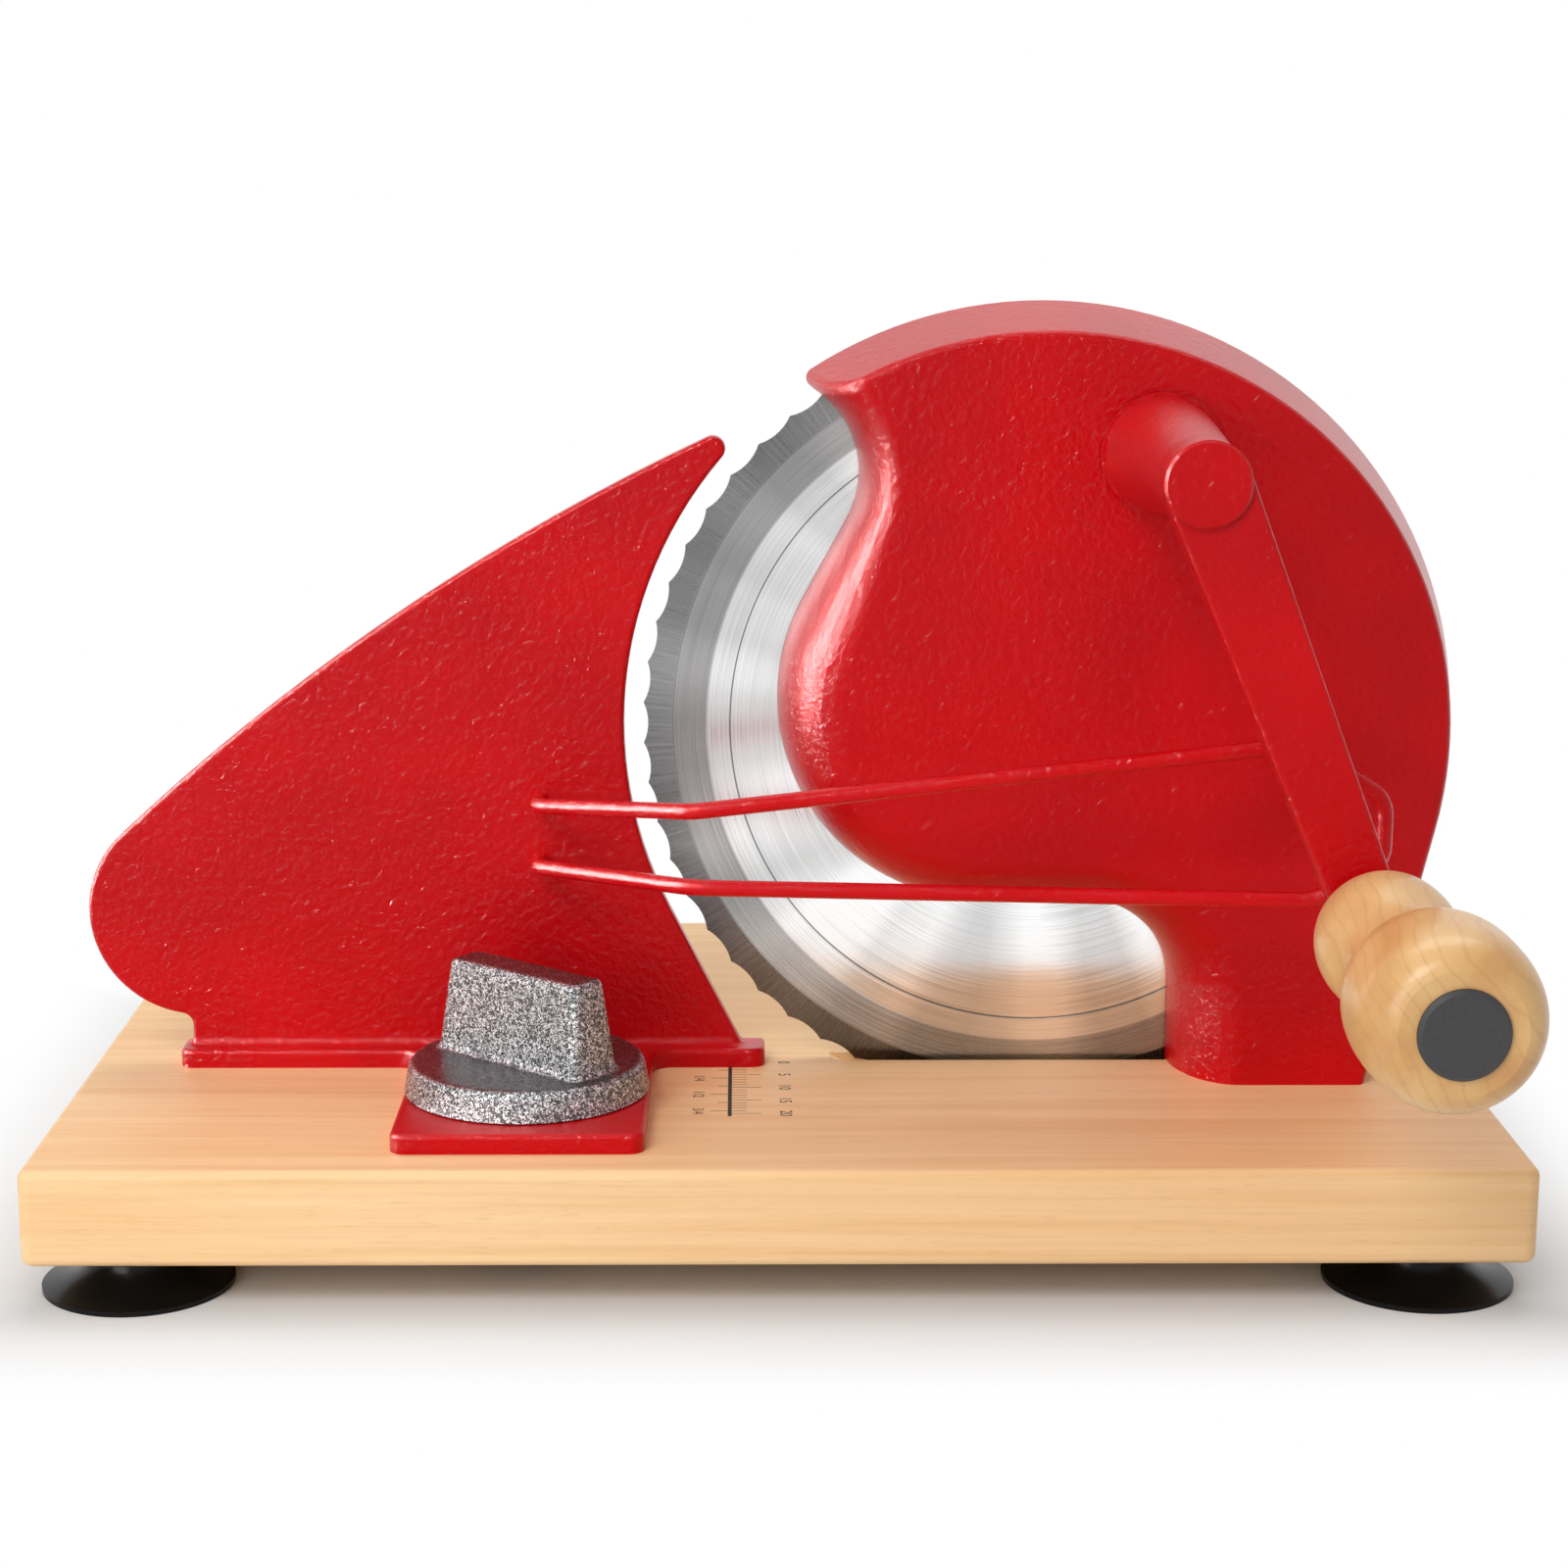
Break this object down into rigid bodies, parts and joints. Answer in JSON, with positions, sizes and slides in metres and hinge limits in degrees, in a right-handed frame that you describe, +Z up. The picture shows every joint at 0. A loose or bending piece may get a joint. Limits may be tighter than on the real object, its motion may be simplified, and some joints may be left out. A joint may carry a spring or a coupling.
{
  "type": "hand cranked bread slicer",
  "caption": "Hand-cranked bread slicer: round scalloped blade in a red cast gear housing, sliding stop plate, wire guard and wooden crank grip on a beech board with suction feet.",
  "frame": {"origin": "middle of the bounding box at the plane the suction feet stand on", "axes": "+X to the right along the board, +Y away from the person turning the crank, +Z up"},
  "size_m": [0.335, 0.3087, 0.217],
  "materials": {
    "beech": "clear satin lacquer",
    "red_enamel": "gloss powder coat",
    "red_coating": "gloss dip coat",
    "blade_steel": "circular brushed",
    "rubber_feet": "gloss",
    "hammered_zinc": "hammertone",
    "grip_wood": "gloss lacquer",
    "cap_plastic": "fine matt",
    "gear_nylon": "moulded",
    "pinion_steel": "hobbed",
    "zinc_steel": "zinc plated",
    "bronze": "turned",
    "brass": "turned"
  },
  "bodies": {
    "base": {"board": "beech", "foot_front_left": "rubber_feet", "foot_front_right": "rubber_feet", "foot_rear_left": "rubber_feet", "foot_rear_right": "rubber_feet", "foot_studs": "zinc_steel", "gear_housing": "red_enamel", "housing_screws": "zinc_steel", "blade_axle": "zinc_steel", "retainer_washer": "zinc_steel", "retainer_screw": "zinc_steel", "idler_axle": "zinc_steel", "idler_clip": "zinc_steel", "crank_bushing": "bronze"},
    "cutter": {"blade": "blade_steel", "blade_gear": "gear_nylon", "blade_bushing": "bronze", "blade_screws": "zinc_steel"},
    "idler": {"idler_gear": "gear_nylon"},
    "crank": {"crank_shaft": "zinc_steel", "shaft_clip": "zinc_steel", "crank_pinion": "pinion_steel", "crank_arm": "red_enamel", "arm_screw": "zinc_steel", "hub_cap": "red_enamel", "grip_spindle": "zinc_steel", "spindle_nut": "zinc_steel"},
    "handle": {"grip": "grip_wood", "grip_cap": "cap_plastic"},
    "stop": {"stop_plate": "red_enamel", "wire_guard": "red_coating", "clamp_nut": "brass"},
    "knob": {"clamp_knob": "hammered_zinc", "clamp_stud": "zinc_steel"}
  },
  "joints": [
    {"name": "crank_spin", "type": "hinge", "parent": "base", "child": "crank", "pos_m": [0.08783, -0.0054, 0.1834], "axis": [0, 1, 0], "continuous": true},
    {"name": "idler_spin", "type": "hinge", "parent": "base", "child": "idler", "pos_m": [0.09512, -0.0054, 0.15121], "axis": [0, 1, 0], "continuous": true},
    {"name": "blade_spin", "type": "hinge", "parent": "base", "child": "cutter", "pos_m": [0.0625, -0.0054, 0.116], "axis": [0, 1, 0], "continuous": true},
    {"name": "grip_spin", "type": "hinge", "parent": "crank", "child": "handle", "pos_m": [0.12692, -0.0738, 0.0881], "axis": [0, 1, 0], "continuous": true},
    {"name": "stop_slide", "type": "slide", "parent": "base", "child": "stop", "axis": [0, -1, 0], "range_m": [0, 0.02]},
    {"name": "knob_turn", "type": "hinge", "parent": "stop", "child": "knob", "pos_m": [-0.0589, -0.0199, 0.032], "axis": [0, 0, 1], "range_deg": [0, 180]}
  ],
  "couplings": [
    {"joint": "idler_spin", "follows": "crank_spin", "ratio": -0.83333},
    {"joint": "blade_spin", "follows": "crank_spin", "ratio": 0.5}
  ]
}
